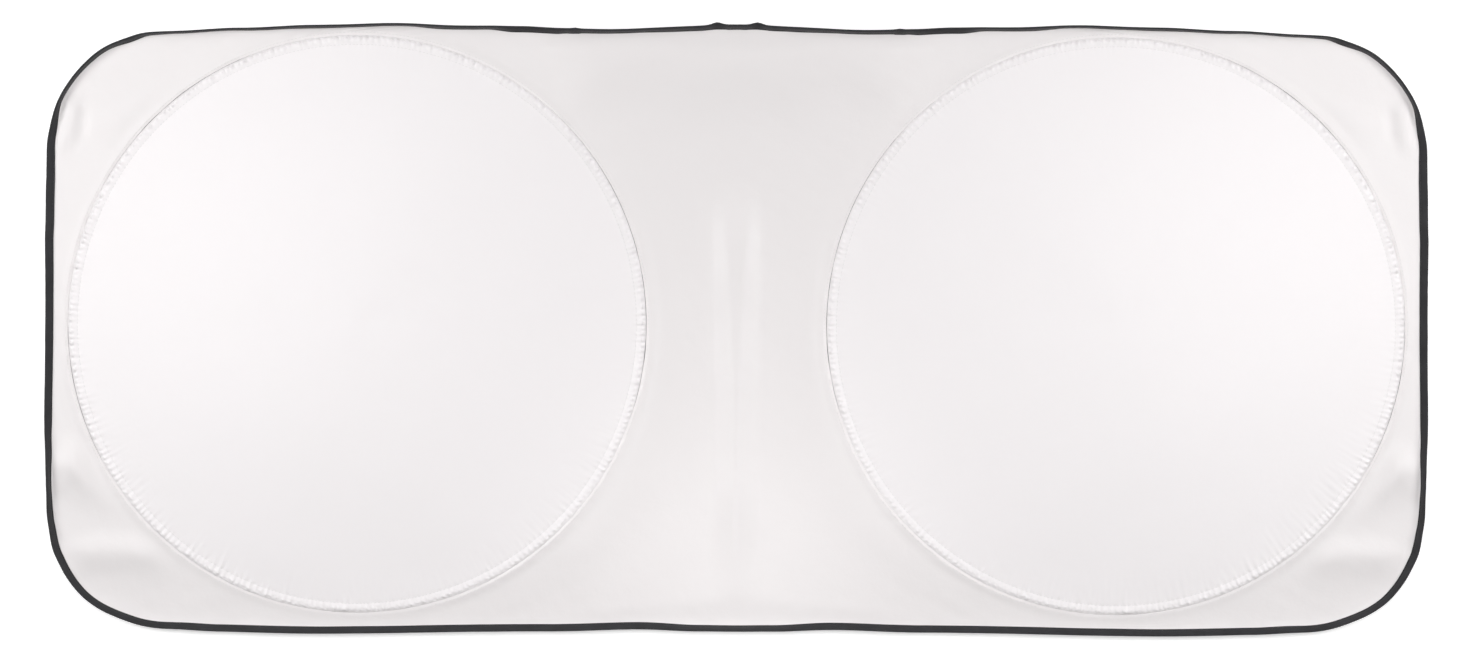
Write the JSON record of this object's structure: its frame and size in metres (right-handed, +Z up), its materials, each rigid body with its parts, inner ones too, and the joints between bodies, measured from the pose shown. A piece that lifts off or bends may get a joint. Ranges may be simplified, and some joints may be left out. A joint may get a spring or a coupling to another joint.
{
  "type": "car windscreen sunshade",
  "caption": "Pop-up windscreen shade lying open: pale coated cloth with round sprung panels side by side and a folded black edge tape.",
  "frame": {"origin": "middle of the shade's outline, on the floor that it lies on", "axes": "+X along the long side, +Y to the top edge with the elastic loop, +Z up out of the front face"},
  "size_m": [1.5006, 0.663, 0.0137],
  "materials": {
    "disc_cloth": "thin coated cloth, silky, almost white",
    "surround_cloth": "thin coated cloth, silky, pale grey",
    "pocket_tape": "woven tape, matt, pale grey",
    "black_tape": "woven tape, matt black",
    "black_elastic": "knitted elastic, matt black",
    "spring_steel": "bare rolled spring steel"
  },
  "bodies": {
    "root": {"surround_panel": "surround_cloth", "left_disc_panel": "disc_cloth", "right_disc_panel": "disc_cloth", "left_hoop_pocket": "pocket_tape", "right_hoop_pocket": "pocket_tape", "left_hoop": "spring_steel", "right_hoop": "spring_steel", "left_hoop_clip": "spring_steel", "right_hoop_clip": "spring_steel", "edge_binding": "black_tape", "retaining_loop": "black_elastic"}
  },
  "joints": []
}
